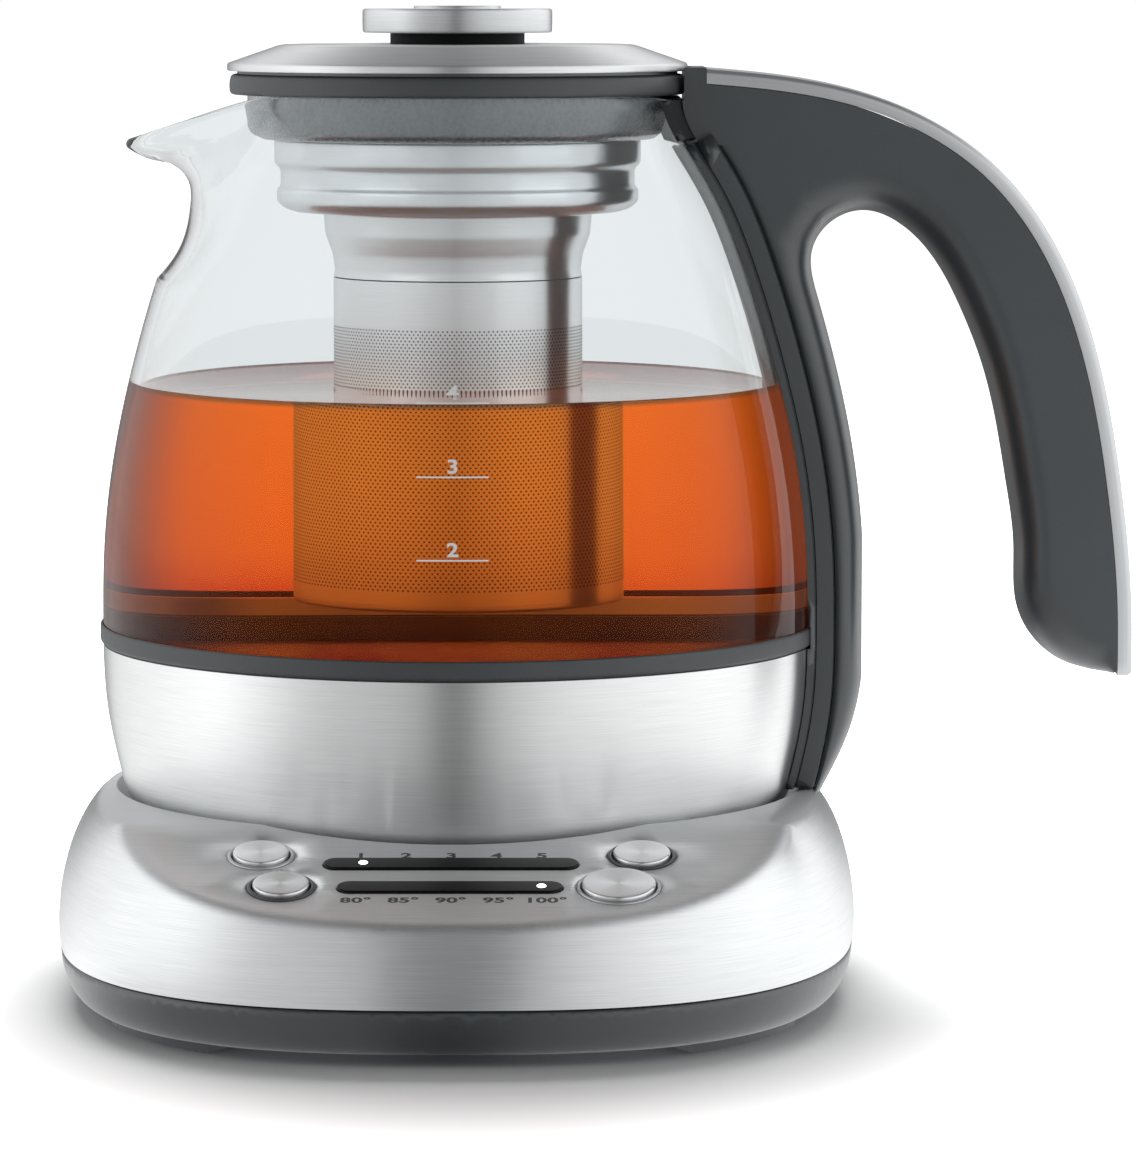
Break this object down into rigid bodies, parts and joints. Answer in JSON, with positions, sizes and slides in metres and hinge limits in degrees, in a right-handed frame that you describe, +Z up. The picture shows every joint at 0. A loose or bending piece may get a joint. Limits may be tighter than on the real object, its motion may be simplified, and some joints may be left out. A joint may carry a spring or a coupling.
{
  "type": "electric tea maker",
  "caption": "Cordless glass kettle with a lift-out tea basket and hook handle, standing on a powered steel base with a sloping control panel.",
  "frame": {"origin": "on the kettle's axis, at the surface the base stands on", "axes": "+Z up, +X towards the handle, -Y towards the control panel"},
  "size_m": [0.2252, 0.1924, 0.205],
  "materials": {
    "steel_brushed": "brushed",
    "steel_basket": "satin",
    "steel_button": "spun",
    "trim_silver": "satin",
    "plastic_slate": "fine grain",
    "plastic_black": "satin",
    "window_black": "gloss",
    "rubber_slate": "matte",
    "silicone_grey": "matte",
    "glass_clear": "polished",
    "brass_contact": "bright",
    "aluminium_cast": "cast",
    "element_steel": "dull",
    "board_green": "satin",
    "lamp_guide": "gloss"
  },
  "bodies": {
    "base": {"base_cover": "steel_brushed", "base_tray": "plastic_slate", "base_feet": "rubber_slate", "base_screws": "element_steel", "seat_plate": "plastic_black", "socket_contacts": "brass_contact", "window_upper": "window_black", "window_lower": "window_black", "light_guides": "lamp_guide", "bezel_steep": "trim_silver", "bezel_heat": "plastic_slate", "bezel_timer": "plastic_slate", "bezel_start": "trim_silver", "control_board": "board_green", "tact_switches": "plastic_black", "power_board": "board_green", "cable_inlet": "plastic_black"},
    "jug": {"glass_jug": "glass_clear", "glass_ring": "rubber_slate", "jug_band": "steel_brushed", "heater_plate": "steel_basket", "heat_spreader": "aluminium_cast", "heating_element": "element_steel", "temperature_sensor": "brass_contact", "jug_floor": "plastic_slate", "jug_connector": "plastic_black", "jug_pin": "brass_contact", "jug_contact_ring": "brass_contact", "handle_bracket": "plastic_slate", "handle_strap": "plastic_slate", "handle_shell": "plastic_slate", "handle_trim": "trim_silver", "neck_clip": "plastic_black"},
    "basket": {"basket_collar": "silicone_grey", "basket_cup": "steel_basket", "basket_tube": "steel_basket", "basket_floor": "steel_basket"},
    "lid": {"lid_cover": "steel_brushed", "lid_plug": "plastic_slate", "lid_gasket": "rubber_slate", "knob_neck": "plastic_slate", "lid_knob": "steel_brushed", "knob_inlay": "steel_brushed", "lid_screw": "element_steel"},
    "steep_button": {"button_steep": "steel_button"},
    "heat_button": {"button_heat": "steel_button"},
    "timer_button": {"button_timer": "steel_button"},
    "start_button": {"button_start": "steel_button"}
  },
  "joints": [
    {"name": "jug_lift", "type": "slide", "parent": "base", "child": "jug", "axis": [0, 0, 1], "range_m": [0, 0.06]},
    {"name": "basket_lift", "type": "slide", "parent": "jug", "child": "basket", "axis": [0, 0, 1], "range_m": [0, 0.12]},
    {"name": "lid_lift", "type": "slide", "parent": "basket", "child": "lid", "axis": [0, 0, 1], "range_m": [0, 0.05]},
    {"name": "steep_press", "type": "slide", "parent": "base", "child": "steep_button", "axis": [0, 0.2588, -0.9659], "range_m": [0, 0.0008], "stiffness_N_per_m": 400, "springref_m": -0.004},
    {"name": "heat_press", "type": "slide", "parent": "base", "child": "heat_button", "axis": [0, 0.2588, -0.9659], "range_m": [0, 0.0008], "stiffness_N_per_m": 400, "springref_m": -0.004},
    {"name": "timer_press", "type": "slide", "parent": "base", "child": "timer_button", "axis": [0, 0.2588, -0.9659], "range_m": [0, 0.0008], "stiffness_N_per_m": 400, "springref_m": -0.004},
    {"name": "start_press", "type": "slide", "parent": "base", "child": "start_button", "axis": [0, 0.2588, -0.9659], "range_m": [0, 0.0008], "stiffness_N_per_m": 400, "springref_m": -0.004}
  ]
}
